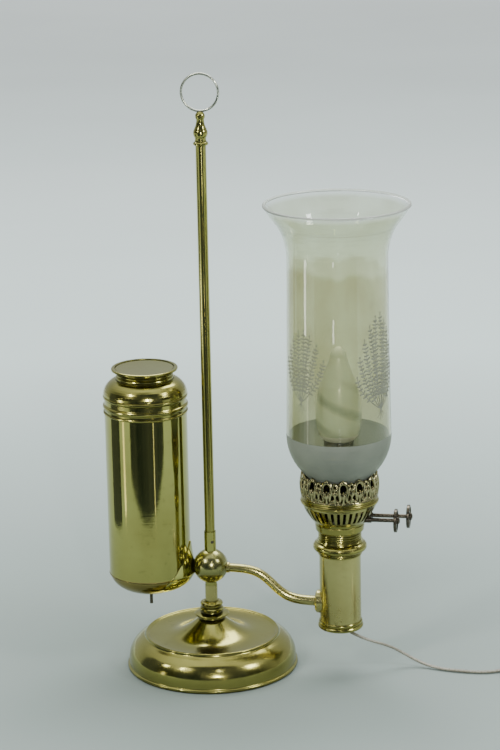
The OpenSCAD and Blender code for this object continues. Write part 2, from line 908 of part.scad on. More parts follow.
module plug_pins() {
  color("silver") translate([plug_x, plug_y - 36, plug_z]) for (x = [-9.3, 9.3])
    translate([x, 0, 0]) rotate([90, 0, 0]) cylinder(r = 2, h = 19);
}

// ---- Each node on its own, or the whole lamp ----

base_shell();
base_weight();
base_pad();
base_spacer();
base_washer();
base_nut();
base_collar();
rod();
finial();
carrying_ring();
stop_tube();
cord_coil();
cord_tail();
plug_body();
plug_pins();
sleeve();
set_screw();
ball();
font_bracket();
font_casing();
casing_rim();
casing_bottom();
valve_cage();
valve_pin();
valve_spring();
arm_ferrule();
burner_arm();
arm_rosette();
burner_column();
column_foot();
cord_grommet();
cord_lead();
column_collar();
burner_socket();
burner_band();
burner_plate();
nipple_nuts();
nipple();
inner_flex();
winder_bushes();
air_basket();
gallery();
coronet();
lampholder();
lampholder_ring();
lampholder_core();
bulb_cap();
bulb_collar();
bulb_tube();
bulb_globe();
near_spindle();
near_wheel();
far_spindle();
far_wheel();
glass_shade();
font_can();
font_mouth();
font_shoulder();
font_neck();
font_lid();
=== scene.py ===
import json
import math

import bmesh
import bpy
import numpy as np
from mathutils import Matrix, Vector


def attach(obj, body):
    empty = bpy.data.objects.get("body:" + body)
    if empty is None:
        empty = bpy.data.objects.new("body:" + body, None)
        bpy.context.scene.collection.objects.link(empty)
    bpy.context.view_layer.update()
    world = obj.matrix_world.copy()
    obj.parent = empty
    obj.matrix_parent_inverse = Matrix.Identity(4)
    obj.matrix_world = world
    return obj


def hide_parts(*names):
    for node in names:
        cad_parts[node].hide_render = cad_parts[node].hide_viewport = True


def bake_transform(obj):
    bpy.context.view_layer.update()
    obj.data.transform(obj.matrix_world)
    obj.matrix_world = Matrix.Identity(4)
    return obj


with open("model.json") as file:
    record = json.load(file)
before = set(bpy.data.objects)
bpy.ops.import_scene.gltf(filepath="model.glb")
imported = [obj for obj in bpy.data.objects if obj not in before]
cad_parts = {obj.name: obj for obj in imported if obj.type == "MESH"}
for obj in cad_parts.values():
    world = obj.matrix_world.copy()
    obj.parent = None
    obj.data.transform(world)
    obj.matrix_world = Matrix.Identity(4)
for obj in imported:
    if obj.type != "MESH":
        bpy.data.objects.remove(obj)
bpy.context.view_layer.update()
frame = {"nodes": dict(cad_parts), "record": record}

nodes = frame["nodes"]
scene = bpy.context.scene

MM = 0.001
AXIS_X = 0.1234  # axis of the burner, the bulb and the shade
UP = Vector((0, 0, 1))

# ---------------------------------------------------------------- camera

YAW, PITCH, ROLL = math.radians(9), math.radians(15.59), math.radians(-1.1)
CAMERA_AWAY, CAMERA_ASIDE, CAMERA_UP = 2.27976, 0.04064, 0.92037
LENS_MM, SENSOR_MM = 81.664, 24


def make_camera():
    """Stands CAMERA_AWAY from the rod, turned by YAW about it, and looks down by PITCH."""
    right = Vector((math.cos(YAW), math.sin(YAW), 0))
    ahead = Vector((-math.sin(YAW), math.cos(YAW), 0))
    look = ahead * math.cos(PITCH) - UP * math.sin(PITCH)
    up = right.cross(look)
    side = right * math.cos(ROLL) + up * math.sin(ROLL)
    top = up * math.cos(ROLL) - right * math.sin(ROLL)
    turn = Matrix((side, top, -look)).transposed().to_4x4()
    data = bpy.data.cameras.new("camera")
    data.sensor_fit = "VERTICAL"
    data.sensor_height = SENSOR_MM
    data.lens = LENS_MM
    data.clip_end = 100
    camera = bpy.data.objects.new("camera", data)
    place = right * CAMERA_ASIDE - ahead * CAMERA_AWAY + UP * CAMERA_UP
    camera.matrix_world = Matrix.Translation(place) @ turn
    scene.collection.objects.link(camera)
    scene.camera = camera


make_camera()

# ---------------------------------------------------------------- mesh helpers


def add_mesh(name, verts, faces, body, smooth=True, material=None):
    """A new object with its normals outwards, riding on body if one is named."""
    mesh = bpy.data.meshes.new(name)
    mesh.from_pydata([tuple(v) for v in verts], [], faces)
    mesh.validate()
    obj = bpy.data.objects.new(name, mesh)
    scene.collection.objects.link(obj)
    bm = bmesh.new()
    bm.from_mesh(mesh)
    bmesh.ops.recalc_face_normals(bm, faces=bm.faces)
    bm.to_mesh(mesh)
    bm.free()
    if smooth:
        mesh.polygons.foreach_set("use_smooth", [True] * len(mesh.polygons))
    if material:
        mesh.materials.append(material)
    if body:
        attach(obj, body)
    return obj


def sharpen(obj, degrees):
    """Keeps edges steeper than this crisp."""
    bm = bmesh.new()
    bm.from_mesh(obj.data)
    for edge in bm.edges:
        if len(edge.link_faces) == 2 and edge.calc_face_angle(0) > math.radians(degrees):
            edge.smooth = False
    bm.to_mesh(obj.data)
    bm.free()


def smooth_line(points, per):
    """A Catmull-Rom line through points, with per steps between each two."""
    pts = [Vector(p) for p in points]
    pts = [pts[0] * 2 - pts[1]] + pts + [pts[-1] * 2 - pts[-2]]
    out = []
    for i in range(1, len(pts) - 2):
        a, b, c, d = pts[i - 1:i + 3]
        for k in range(per):
            t = k / per
            out.append(0.5 * (2 * b + (c - a) * t + (2 * a - 5 * b + 4 * c - d) * t ** 2
                              + (3 * b - a - 3 * c + d) * t ** 3))
    out.append(pts[-2])
    return out


def skin(rings, n, wrap=False):
    """Quads between rings of n points each; wrap joins the last ring to the first."""
    return [(i * n + k, i * n + (k + 1) % n, (i + 1) % rings * n + (k + 1) % n, (i + 1) % rings * n + k)
            for i in range(rings if wrap else rings - 1) for k in range(n)]


def sweep(points, profile):
    """A tube with flat ends along points; profile is its section as (across, up), with across level."""
    verts, count, n = [], len(points), len(profile)
    for i, p in enumerate(points):
        along = (points[min(i + 1, count - 1)] - points[max(i - 1, 0)]).normalized()
        across = UP.cross(along)
        if i and across.length < 0.2:
            across = last_across - along * last_across.dot(along)
        across.normalize()
        if i and across.dot(last_across) < 0:
            across = -across
        last_across = across
        up = along.cross(across)
        verts += [p + across * u + up * v for u, v in profile]
    faces = skin(count, n)
    faces.append(tuple(range(n - 1, -1, -1)))
    faces.append(tuple((count - 1) * n + k for k in range(n)))
    return verts, faces


# ---------------------------------------------------------------- lead

# the cord's centre line in mm: out of the grommet and over the table, and from the coil to the plug
LEAD = [(131, 0, 40), (131.3, -0.3, 38.3), (132.6, -1, 36.8), (135, -1.9, 35.6), (139, -2.9, 34.2),
        (147, -3.6, 31.2), (156, -1.2, 27.4), (165, 3.6, 23), (174, 8.6, 17.4), (183.5, 10.8, 11.4),
        (193.3, 9.7, 6.6), (205, 6.2, 3.2), (220, 1.2, 1.9), (238, -2, 1.8), (254, -2.6, 1.8),
        (266, -0.4, 1.8), (274, 3.6, 1.8), (281.8, 8.4, 1.8)]
TAIL = [(331.9, -13.4, 10.1), (331.9, -17, 9.2), (331.9, -21, 8), (331.9, -26, 6.9), (331.9, -32, 6.5)]
COIL_IN, COIL_OUT = (290, 15.7, 1.8), (331.9, 0, 11.1)
COIL_X, TURNS, TURN_STEPS = 308, 12, 48
ROW_Z = (1.8, 4.9, 8.0, 11.1)
TURN_R = (23.9, 20.5, 17.1)
START = math.degrees(math.atan2(COIL_IN[1], COIL_IN[0] - COIL_X))
STEP_OVER = 0.22  # share of a turn in which it moves over to the next turn's place


def ease(t):
    t = min(max(t, 0), 1)
    return t * t * (3 - 2 * t)


def coil_points():
    """Twelve and a bit turns: three across, four high, wound out to in and back again."""
    order = [(r, z) for row, z in enumerate(ROW_Z) for r in (TURN_R if row % 2 == 0 else TURN_R[::-1])]
    order.append(order[-1])
    out = []
    sweep_deg = 360 * TURNS + START
    total = round(sweep_deg / 360 * TURN_STEPS)
    for i in range(1, total + 1):
        turned = sweep_deg * i / total
        turn = min(int(turned // 360), TURNS)
        part = (turned - 360 * turn) / 360
        here, after = order[turn], order[min(turn + 1, TURNS)]
        blend = ease((part - 1 + STEP_OVER) / STEP_OVER)
        r = here[0] + (after[0] - here[0]) * blend
        z = here[1] + (after[1] - here[1]) * blend
        a = math.radians(START - turned)
        out.append(Vector((COIL_X + r * math.cos(a), r * math.sin(a), z)))
    return out


def cord_points():
    lead = smooth_line(LEAD + [COIL_IN], 5)
    tail = smooth_line([COIL_OUT, (331.9, -6.5, 11.1)] + TAIL, 4)
    return [p * MM for p in lead + coil_points() + tail[1:]]


def twin_profile(core=1.22, gap=0.52, steps=10):
    """Two round cores moulded side by side, as on thin lamp flex."""
    ring = []
    for side in (1, -1):
        for k in range(steps + 1):
            a = math.radians(-110 + 220 * k / steps) + (0 if side > 0 else math.pi)
            ring.append(((side * gap + core * math.cos(a)) * MM, core * math.sin(a) * MM))
    return ring


cord_path = cord_points()
cord = add_mesh("cord", *sweep(cord_path, twin_profile()), None)
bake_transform(cord)
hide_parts("cord_lead", "cord_coil", "cord_tail")


def make_tie():
    """A flat band around all of the coil's turns, in one place."""
    a = math.radians(205)
    out = Vector((math.cos(a), math.sin(a), 0))
    mid = Vector((COIL_X, 0, 6.4)) + out * 20.5
    half_w, half_h, corner = 5.75, 6.2, 2.2
    pts = []
    for cx, cz, first in ((1, 1, 0), (-1, 1, 90), (-1, -1, 180), (1, -1, 270)):
        for k in range(7):
            t = math.radians(first + 15 * k)
            pts.append(mid + out * (cx * (half_w - corner) + corner * math.cos(t))
                       + UP * (cz * (half_h - corner) + corner * math.sin(t)))
    pts = [p * MM for p in pts]
    along = UP.cross(out)
    strip = [(-1.6, 0.16), (-0.5, 0.3), (0.5, 0.3), (1.6, 0.16), (1.6, -0.16), (-1.6, -0.16)]
    verts = []
    for i, p in enumerate(pts):
        t = (pts[(i + 1) % len(pts)] - pts[i - 1]).normalized()
        normal = t.cross(along).normalized()
        verts += [p + along * u * MM + normal * v * MM for u, v in strip]
    return add_mesh("cord_tie", verts, skin(len(pts), len(strip), wrap=True), "swivel")


cord_tie = make_tie()

# ---------------------------------------------------------------- materials


def new_material(name):
    mat = bpy.data.materials.new(name)
    mat.use_nodes = True
    tree = mat.node_tree
    return mat, tree, tree.nodes["Principled BSDF"]


def node(tree, kind, **inputs):
    made = tree.nodes.new(kind)
    for key, value in inputs.items():
        made.inputs[key.replace("_", " ")].default_value = value
    return made


def feed(tree, socket, value):
    """Links an output to a socket, or sets a number or a colour on it."""
    if hasattr(value, "node"):
        tree.links.new(value, socket)
    else:
        socket.default_value = value if isinstance(value, (int, float)) else (*value, 1)


def noise(tree, coords, scale, detail=3, stretch=(1, 1, 1), rough=0.5):
    mapping = tree.nodes.new("ShaderNodeMapping")
    mapping.inputs["Scale"].default_value = stretch
    tree.links.new(coords, mapping.inputs["Vector"])
    tex = node(tree, "ShaderNodeTexNoise", Scale=scale, Detail=detail, Roughness=rough)
    tree.links.new(mapping.outputs[0], tex.inputs["Vector"])
    return tex.outputs["Fac"]


def ramp(tree, value, stops):
    made = tree.nodes.new("ShaderNodeValToRGB")
    made.color_ramp.elements[0].position = stops[0][0]
    made.color_ramp.elements[0].color = (*stops[0][1], 1)
    made.color_ramp.elements[1].position = stops[-1][0]
    made.color_ramp.elements[1].color = (*stops[-1][1], 1)
    for at, colour in stops[1:-1]:
        made.color_ramp.elements.new(at).color = (*colour, 1)
    tree.links.new(value, made.inputs[0])
    return made.outputs[0]


def spread(tree, value, low, high, at=(0.3, 0.7)):
    made = tree.nodes.new("ShaderNodeMapRange")
    for key, number in zip(("From Min", "From Max", "To Min", "To Max"), (*at, low, high)):
        made.inputs[key].default_value = number
    tree.links.new(value, made.inputs["Value"])
    return made.outputs[0]


def mix(tree, fac, a, b, kind="MIX"):
    made = tree.nodes.new("ShaderNodeMix")
    made.data_type = "RGBA"
    made.blend_type = kind
    for socket, value in ((made.inputs[0], fac), (made.inputs[6], a), (made.inputs[7], b)):
        feed(tree, socket, value)
    return made.outputs[2]


def maths(tree, kind, a, b=0.0):
    made = tree.nodes.new("ShaderNodeMath")
    made.operation = kind
    feed(tree, made.inputs[0], a)
    feed(tree, made.inputs[1], b)
    return made.outputs[0]


def mixed(tree, a, b):
    return maths(tree, "ADD", maths(tree, "MULTIPLY", a, 0.5), maths(tree, "MULTIPLY", b, 0.5))


def mix_shaders(tree, fac, a, b):
    made = tree.nodes.new("ShaderNodeMixShader")
    for socket, value in zip(made.inputs, (fac, a, b)):
        feed(tree, socket, value)
    return made.outputs[0]


def see_through(tree, tint):
    made = tree.nodes.new("ShaderNodeBsdfTransparent")
    feed(tree, made.inputs[0], tint)
    return made.outputs[0]


def xyz(tree, vector):
    made = tree.nodes.new("ShaderNodeSeparateXYZ")
    tree.links.new(vector, made.inputs[0])
    return made.outputs


def bump(tree, shader, height, strength, distance):
    made = node(tree, "ShaderNodeBump", Strength=strength, Distance=distance)
    tree.links.new(height, made.inputs["Height"])
    tree.links.new(made.outputs[0], shader.inputs["Normal"])


def object_coords(tree):
    return tree.nodes.new("ShaderNodeTexCoord").outputs["Object"]


def brass(name, bright, dull, rough, cast=0.0, crease_shade=0.75, crease_shade_reach=0.0035):
    """Polished brass: cloudy tarnish, fine rubbed lines, small pits, and painted shade in the crevices.
    cast deepens the pits; the last two arguments set how dark the painted crevice shade gets and how far it
    spreads, in metres."""
    mat, tree, shader = new_material(name)
    coords = object_coords(tree)
    clouds = noise(tree, coords, 14, 4, rough=0.6)
    spots = noise(tree, coords, 120, 3, rough=0.7)
    rubbed = noise(tree, coords, 60, 3, (1, 1, 14))
    tone = ramp(tree, clouds, ((0.34, bright), (0.54, [0.55 * a + 0.45 * b for a, b in zip(bright, dull)]),
                               (0.8, dull)))
    flecks = spread(tree, spots, 0.0, 0.55, (0.62, 0.8))
    tone = mix(tree, flecks, tone, [c * 0.45 for c in dull])
    # painted shade: ambient occlusion darkens the crevices and hollows of the brass
    occlusion = tree.nodes.new("ShaderNodeAmbientOcclusion")
    occlusion.samples = 6
    occlusion.inputs["Distance"].default_value = crease_shade_reach
    shade_mask = spread(tree, occlusion.outputs["AO"], crease_shade, 0, (0.3, 0.85))
    tone = mix(tree, shade_mask, tone, [c * 0.16 for c in dull])
    tree.links.new(tone, shader.inputs["Base Color"])
    shader.inputs["Metallic"].default_value = 1
    gloss = maths(tree, "ADD", spread(tree, clouds, rough * 0.75, rough * 1.6),
                  spread(tree, spots, 0, 0.12, (0.55, 0.8)))
    gloss = maths(tree, "ADD", gloss, maths(tree, "MULTIPLY", shade_mask, 0.3))
    tree.links.new(gloss, shader.inputs["Roughness"])
    lines, pits = maths(tree, "MULTIPLY", rubbed, 0.12), maths(tree, "MULTIPLY", spots, 0.15 + cast)
    dents = maths(tree, "MULTIPLY", noise(tree, coords, 22, 2), 0.9)
    height = maths(tree, "ADD", maths(tree, "ADD", lines, pits), dents)
    bump(tree, shader, height, 0.3, 0.0004)
    return mat


def simple(name, light, dark, rough, scale, metallic=0.0, stretch=(1, 1, 1), height=0.0002, strength=0.4):
    mat, tree, shader = new_material(name)
    coords = object_coords(tree)
    broad = noise(tree, coords, scale * 0.12, 3)
    fine = noise(tree, coords, scale, 4, stretch, 0.65)
    tone = ramp(tree, mixed(tree, broad, fine), ((0.32, dark), (0.68, light)))
    tree.links.new(tone, shader.inputs["Base Color"])
    shader.inputs["Metallic"].default_value = metallic
    tree.links.new(spread(tree, fine, rough * 0.8, min(rough * 1.25, 1)), shader.inputs["Roughness"])
    bump(tree, shader, fine, strength, height)
    return mat


brass_mat = brass("brass", (0.42, 0.405, 0.125), (0.31, 0.28, 0.08), 0.06)
satin_mat = brass("brass_satin", (0.32, 0.31, 0.12), (0.23, 0.215, 0.08), 0.24)
soft_mat = brass("brass_soft", (0.355, 0.335, 0.098), (0.252, 0.22, 0.058), 0.14,
                 crease_shade=0.95, crease_shade_reach=0.005)
tube_mat = brass("brass_brushed", (0.50, 0.46, 0.18), (0.36, 0.31, 0.11), 0.2,
                 crease_shade=0.95, crease_shade_reach=0.005)
# painted shade: the long occlusion reach darkens the air basket's inside
basket_mat = brass("brass_basket", (0.43, 0.405, 0.155), (0.30, 0.265, 0.09), 0.14,
                   crease_shade=1.0, crease_shade_reach=0.016)
# painted reflection and shade: the casing's dished bottom is browned and darkened
dish_reflection_mat = brass("brass_painted_dish_reflection", (0.30, 0.25, 0.085), (0.20, 0.155, 0.05), 0.16)
relief_mat = brass("brass_cast", (0.50, 0.46, 0.24), (0.20, 0.165, 0.075), 0.08, cast=0.5, crease_shade=1.0)
ring_mat = brass("brass_worn", (0.58, 0.60, 0.50), (0.36, 0.37, 0.29), 0.25)
holder_mat = brass("holder_brass", (0.26, 0.245, 0.19), (0.12, 0.11, 0.08), 0.28)
bronze_mat = brass("dark_brass", (0.13, 0.112, 0.082), (0.055, 0.047, 0.036), 0.22)
iron_mat = simple("iron", (0.10, 0.10, 0.105), (0.035, 0.033, 0.032), 0.6, 260, 0.7, height=0.0005)
steel_mat = simple("steel", (0.72, 0.71, 0.68), (0.50, 0.49, 0.47), 0.22, 240, 1.0, (1, 1, 10))
phenolic_mat = simple("phenolic", (0.05, 0.043, 0.038), (0.024, 0.02, 0.018), 0.4, 300)
white_mat = simple("white_plastic", (0.82, 0.81, 0.76), (0.72, 0.71, 0.65), 0.3, 420, height=0.0001)


def baize():
    mat = simple("baize", (0.045, 0.16, 0.07), (0.02, 0.085, 0.035), 0.95, 900, height=0.0006, strength=0.9)
    shader = mat.node_tree.nodes["Principled BSDF"]
    shader.inputs["Sheen Weight"].default_value = 0.5
    shader.inputs["Sheen Roughness"].default_value = 0.4
    return mat


def flex():
    """Thin translucent lamp flex: a milky skin with the copper showing through a little."""
    mat = simple("flex", (0.36, 0.345, 0.28), (0.19, 0.165, 0.12), 0.28, 500, height=0.00008)
    shader = mat.node_tree.nodes["Principled BSDF"]
    shader.inputs["Subsurface Weight"].default_value = 0.25
    shader.inputs["Subsurface Radius"].default_value = (0.002, 0.0016, 0.001)
    shader.inputs["Coat Weight"].default_value = 0.3
    shader.inputs["Coat Roughness"].default_value = 0.12
    return mat


BULB_Z = 0.268  # foot of the bulb's cover


def opal():
    """Opal bulb cover: creamy, a little darker where the spiral tube lies behind it."""
    mat, tree, shader = new_material("opal")
    coords = object_coords(tree)
    move = tree.nodes.new("ShaderNodeMapping")
    move.inputs["Location"].default_value = (-AXIS_X, 0, -BULB_Z)
    tree.links.new(coords, move.inputs["Vector"])
    x, y, z = xyz(tree, move.outputs[0])
    around = maths(tree, "ARCTAN2", y, x)
    twist = maths(tree, "ADD", maths(tree, "MULTIPLY", z, 230), maths(tree, "MULTIPLY", around, 2))
    swirl = spread(tree, maths(tree, "SINE", twist), 0, 1, (-0.2, 1))
    wobble = noise(tree, coords, 45, 3)
    inside = maths(tree, "MULTIPLY", maths(tree, "MULTIPLY", swirl, wobble),
                   spread(tree, z, 1, 0, (-0.004, 0.03)))
    tone = mix(tree, spread(tree, inside, 0, 0.62, (0.12, 0.55)), (0.66, 0.73, 0.59), (0.19, 0.23, 0.17))
    tree.links.new(tone, shader.inputs["Base Color"])
    tree.links.new(spread(tree, wobble, 0.13, 0.22), shader.inputs["Roughness"])
    shader.inputs["Subsurface Weight"].default_value = 0.35
    shader.inputs["Subsurface Radius"].default_value = (0.004, 0.0035, 0.0025)
    shader.inputs["Coat Weight"].default_value = 0.8
    shader.inputs["Coat Roughness"].default_value = 0.06
    bump(tree, shader, wobble, 0.1, 0.0002)
    return mat


# heights in metres where the shade's glass changes: its seat in the coronet, darkened as painted shade,
# the frosted bowl, the top of the painted shadow band, the clear mouth and the ground rim
SEAT, FROST = (0.1925, 0.1935), (0.2334, 0.2338)
SHADOW_BAND, MOUTH, RIM = (0.387, 0.393), (0.442, 0.446), (0.4474, 0.4480)


def lets_lamps_through(tree, shader, tint):
    """Sends light straight through, so that what stands behind the glass is lit."""
    path = tree.nodes.new("ShaderNodeLightPath")
    either = maths(tree, "MAXIMUM", path.outputs["Is Shadow Ray"], path.outputs["Is Diffuse Ray"])
    return mix_shaders(tree, either, shader.outputs[0], see_through(tree, tint))


def frosted_glass(tree, coords, grain):
    """The acid-frosted bowl: a grey skin that lets a part of what is behind it show."""
    frost = tree.nodes.new("ShaderNodeBsdfPrincipled")
    cloud = noise(tree, coords, 30, 4)
    tone = ramp(tree, cloud, ((0.3, (0.235, 0.255, 0.215)), (0.7, (0.315, 0.335, 0.285))))
    tree.links.new(tone, frost.inputs["Base Color"])
    tree.links.new(spread(tree, grain, 0.55, 0.8), frost.inputs["Roughness"])
    bump(tree, frost, grain, 0.5, 0.0002)
    return mix_shaders(tree, 0.62, see_through(tree, (0.85, 0.87, 0.78)), frost.outputs[0])


def shade_glass():
    """Faintly straw-tinted glass with a painted shadow, darker and browner, through its middle, an
    acid-frosted bowl whose edge is a sharp turned line, a seat darkened as painted shade and a ground rim."""
    mat, tree, shader = new_material("shade_glass")
    coords = object_coords(tree)
    z = xyz(tree, coords)[2]
    tint_and_shadow_mottle = noise(tree, coords, 26, 4, (1, 1, 0.6))
    pale = ramp(tree, tint_and_shadow_mottle, ((0.3, (0.74, 0.75, 0.58)), (0.7, (0.86, 0.88, 0.75))))
    # painted shadow: a darker, browner tint through the middle of the glass
    shadow_tint = ramp(tree, tint_and_shadow_mottle, ((0.3, (0.57, 0.54, 0.36)), (0.7, (0.72, 0.715, 0.54))))
    wavy = maths(tree, "ADD", z, spread(tree, tint_and_shadow_mottle, -0.006, 0.006))
    tint_with_shadow = mix(tree, spread(tree, wavy, 1, 0, SHADOW_BAND), pale, shadow_tint)
    tone = mix(tree, spread(tree, z, 0, 1, MOUTH), tint_with_shadow, (1, 1, 0.98))
    tree.links.new(tone, shader.inputs["Base Color"])
    shader.inputs["Transmission Weight"].default_value = 1
    shader.inputs["IOR"].default_value = 1.47
    haze = noise(tree, coords, 25, 4)
    tree.links.new(spread(tree, haze, 0.0, 0.035), shader.inputs["Roughness"])
    ripple = noise(tree, coords, 9, 2, (1, 1, 0.4))
    bump(tree, shader, ripple, 0.15, 0.0006)
    grain = noise(tree, coords, 1400, 3)
    ground = tree.nodes.new("ShaderNodeBsdfPrincipled")
    pale_grain = ramp(tree, grain, ((0.3, (0.62, 0.66, 0.58)), (0.7, (0.80, 0.84, 0.76))))
    tree.links.new(pale_grain, ground.inputs["Base Color"])
    ground.inputs["Roughness"].default_value = 0.2
    clear = lets_lamps_through(tree, shader, (0.92, 0.92, 0.86))
    glass = mix_shaders(tree, spread(tree, z, 1, 0, FROST), clear, frosted_glass(tree, coords, grain))
    # painted shade: the glass seated inside the coronet is darkened
    glass = mix_shaders(tree, spread(tree, z, 1, 0, SEAT), glass, see_through(tree, (0.42, 0.41, 0.33)))
    glass = mix_shaders(tree, spread(tree, z, 0, 0.5, RIM), glass, ground.outputs[0])
    tree.links.new(glass, tree.nodes["Material Output"].inputs["Surface"])
    return mat


def etched(name, alpha):
    """The matt grey of acid etching, part see-through."""
    mat, tree, shader = new_material(name)
    coords = object_coords(tree)
    grain = noise(tree, coords, 900, 3)
    tone = ramp(tree, grain, ((0.3, (0.15, 0.155, 0.13)), (0.7, (0.27, 0.275, 0.24))))
    tree.links.new(tone, shader.inputs["Base Color"])
    shader.inputs["Roughness"].default_value = 0.7
    shader.inputs["Alpha"].default_value = alpha
    bump(tree, shader, grain, 0.5, 0.0001)
    return mat


mats = {
    "brass": brass_mat, "dark_brass": bronze_mat, "iron": iron_mat, "baize": baize(), "flex": flex(),
    "white_plastic": white_mat, "steel": steel_mat, "phenolic": phenolic_mat, "opal": opal(),
    "lit_tube": simple("lit_tube", (0.9, 0.9, 0.87), (0.8, 0.8, 0.77), 0.3, 300),
    "shade_glass": shade_glass(),
}
for part in frame["record"]["subparts"]:
    mesh = nodes[part["node"]].data
    mesh.materials.clear()
    mesh.materials.append(mats[part["material_slot"]])
for mat, names in (
        (ring_mat, ["carrying_ring"]), (satin_mat, ["ball"]), (basket_mat, ["air_basket"]),
        (dish_reflection_mat, ["casing_bottom"]), (holder_mat, ["lampholder", "lampholder_ring", "bulb_cap"]),
        (tube_mat, ["burner_column", "burner_arm", "arm_ferrule", "arm_rosette", "stop_tube"]),
        (soft_mat, ["base_collar", "rod", "finial", "font_shoulder", "font_neck", "font_lid",
                    "casing_rim", "column_collar", "column_foot", "burner_socket", "burner_band",
                    "gallery"])):
    for name in names:
        nodes[name].data.materials[0] = mat
cord.data.materials.append(mats["flex"])
cord_tie.data.materials.append(white_mat)

# ---------------------------------------------------------------- pierced coronet


def sheet_from(field, wide, high, place, wrap):
    """Closed solid sheet where field[i][j] > 0, its outline drawn by marching squares.
    place(u, v, side, d) gives the point, with side 1 for the outer face and 0 for the inner."""
    cols, up = len(field), len(field[0]) - 1
    across = cols if wrap else cols - 1
    verts, keys, faces = [], {}, []

    def corner(i, j, side):
        key = (i % cols if wrap else i, j, side)
        if key not in keys:
            keys[key] = len(verts)
            verts.append(place(wide * i / across, high * j / up, side, field[key[0]][j]))
        return keys[key]

    def cut(i, j, k, l, side):
        a, b = sorted(((i % cols if wrap else i, j), (k % cols if wrap else k, l)))
        key = (a, b, side)
        if key not in keys:
            keys[key] = len(verts)
            fa, fb = field[i % cols][j], field[k % cols][l]
            t = fa / (fa - fb)
            verts.append(place(wide * (i + (k - i) * t) / across, high * (j + (l - j) * t) / up, side, 0))
        return keys[key]

    for i in range(across):
        for j in range(up):
            ring = [(i, j), (i + 1, j), (i + 1, j + 1), (i, j + 1)]
            inner = [field[a % cols][b] > 0 for a, b in ring]
            if not any(inner):
                continue
            loop = []
            for k in range(4):
                n = (k + 1) % 4
                if inner[k]:
                    loop.append(("c", ring[k]))
                if inner[k] != inner[n]:
                    loop.append(("x", (*ring[k], *ring[n])))
            loops = [loop]
            if inner in ([True, False, True, False], [False, True, False, True]):
                first = 0 if inner[0] else 1
                loops = []
                for k in (first, first + 2):
                    before = (k - 1) % 4
                    loops.append([("x", (*ring[before], *ring[k])), ("c", ring[k]),
                                  ("x", (*ring[k], *ring[(k + 1) % 4]))])
            for one in loops:
                pair = []
                for side in (1, 0):
                    pair.append([corner(*where, side) if kind == "c" else cut(*where, side)
                                 for kind, where in one])
                faces.append(tuple(pair[0]))
                faces.append(tuple(reversed(pair[1])))
                for k in range(len(one)):
                    n = (k + 1) % len(one)
                    if one[k][0] == "x" and one[n][0] == "x":
                        faces.append((pair[0][n], pair[0][k], pair[1][k], pair[1][n]))
    # outer borders of the grid
    for j in (0, up):
        for i in range(across):
            a, b = field[i][j] > 0, field[(i + 1) % cols][j] > 0
            if a or b:
                ends = [corner(i, j, 1) if a else cut(i, j, i + 1, j, 1),
                        corner(i + 1, j, 1) if b else cut(i, j, i + 1, j, 1)]
                backs = [corner(i, j, 0) if a else cut(i, j, i + 1, j, 0),
                         corner(i + 1, j, 0) if b else cut(i, j, i + 1, j, 0)]
                faces.append((ends[0], ends[1], backs[1], backs[0]))
    return verts, faces


def strokes_field(us, vs, strokes):
    """How far inside the nearest stroke each grid point lies, in mm.
    A stroke is a line of (u, v, half width) points."""
    best = np.full((len(us), len(vs)), -2.0)
    for stroke in strokes:
        for (ax, ay, aw), (bx, by, bw) in zip(stroke, stroke[1:]):
            reach = max(aw, bw) + 1.2
            i0, i1 = np.searchsorted(us, (min(ax, bx) - reach, max(ax, bx) + reach))
            j0, j1 = np.searchsorted(vs, (min(ay, by) - reach, max(ay, by) + reach))
            du, dv = us[i0:i1, None] - ax, vs[None, j0:j1] - ay
            dx, dy = bx - ax, by - ay
            t = np.clip((du * dx + dv * dy) / (dx * dx + dy * dy), 0, 1)
            deep = aw + (bw - aw) * t - np.hypot(du - dx * t, dv - dy * t)
            best[i0:i1, j0:j1] = np.maximum(best[i0:i1, j0:j1], deep)
    return best


REPEATS, CORONET_R, CORONET_Z, CORONET_HIGH = 14, 35.6, 173.5, 23.6
PITCH_MM = 2 * math.pi * CORONET_R / REPEATS
HALF = PITCH_MM / 2
BAND = 1.5  # the solid band at its foot
TALLER, BOLDER = 1.2, 0.32  # the drawing below is stretched upwards, and its strokes thickened
RELIEF, EDGE = 1.7, 1.5  # how far strokes swell outwards, and over how wide an edge


def arc_stroke(x, y, r, first, last, w0, w1, steps=8):
    """A curved stroke about (x, y), from one angle to the other, in degrees."""
    out = []
    for k in range(steps + 1):
        t = k / steps
        a = math.radians(first + (last - first) * t)
        out.append((x + r * math.cos(a), y + r * math.sin(a), w0 + (w1 - w0) * t))
    return out


def coronet_strokes():
    """One half of the scrollwork, in mm from the middle of a repeat; the other half mirrors it."""
    return [
        # tall arch with its foot curled outwards
        arc_stroke(0, 12.6, 4.5, 90, 0, 1.55, 1.45),
        [(4.5, 12.6, 1.45), (4.3, 9.4, 1.2), (3.5, 6.6, 1.1), (3.1, 4.2, 1.2)],
        arc_stroke(4.9, 4.0, 1.9, 180, 350, 1.2, 0.9),
        # palmette inside the arch
        [(0, 1.0, 1.2), (0, 4.4, 0.8), (0, 7.2, 1.5), (0, 10.2, 0.5)],
        [(0.4, 4.4, 0.6), (1.6, 6.6, 0.85), (2.3, 9.0, 0.5)],
        # bud between two arches, and its side leaves
        [(HALF, 1.0, 0.8), (HALF, 5.4, 0.8), (HALF, 8.8, 1.5), (HALF, 12.0, 0.7)],
        [(HALF, 6.4, 0.7), (6.5, 8.2, 0.75), (6.3, 9.8, 0.5)],
        # links, and the crest that joins the arches
        [(4.6, 12.0, 0.9), (HALF, 12.4, 0.9)],
        arc_stroke(HALF, 14.0, 2.1, 180, 90, 0.8, 1.1),
        [(0, 17.2, 1.3), (0, 18.8, 0.6)],
    ]


def coronet_wall(v):
    """Radius of the wall by height above its foot: the CAD wall's, with the tips leaning out."""
    t = v / 20.0
    bulge = 1.05 * math.sin(math.pi * min(t * 1.02, 1)) - 0.25 * max(t - 0.45, 0) ** 1.6 / 0.38
    return 35.25 + bulge + 0.6 * max(v - 21.5, 0)


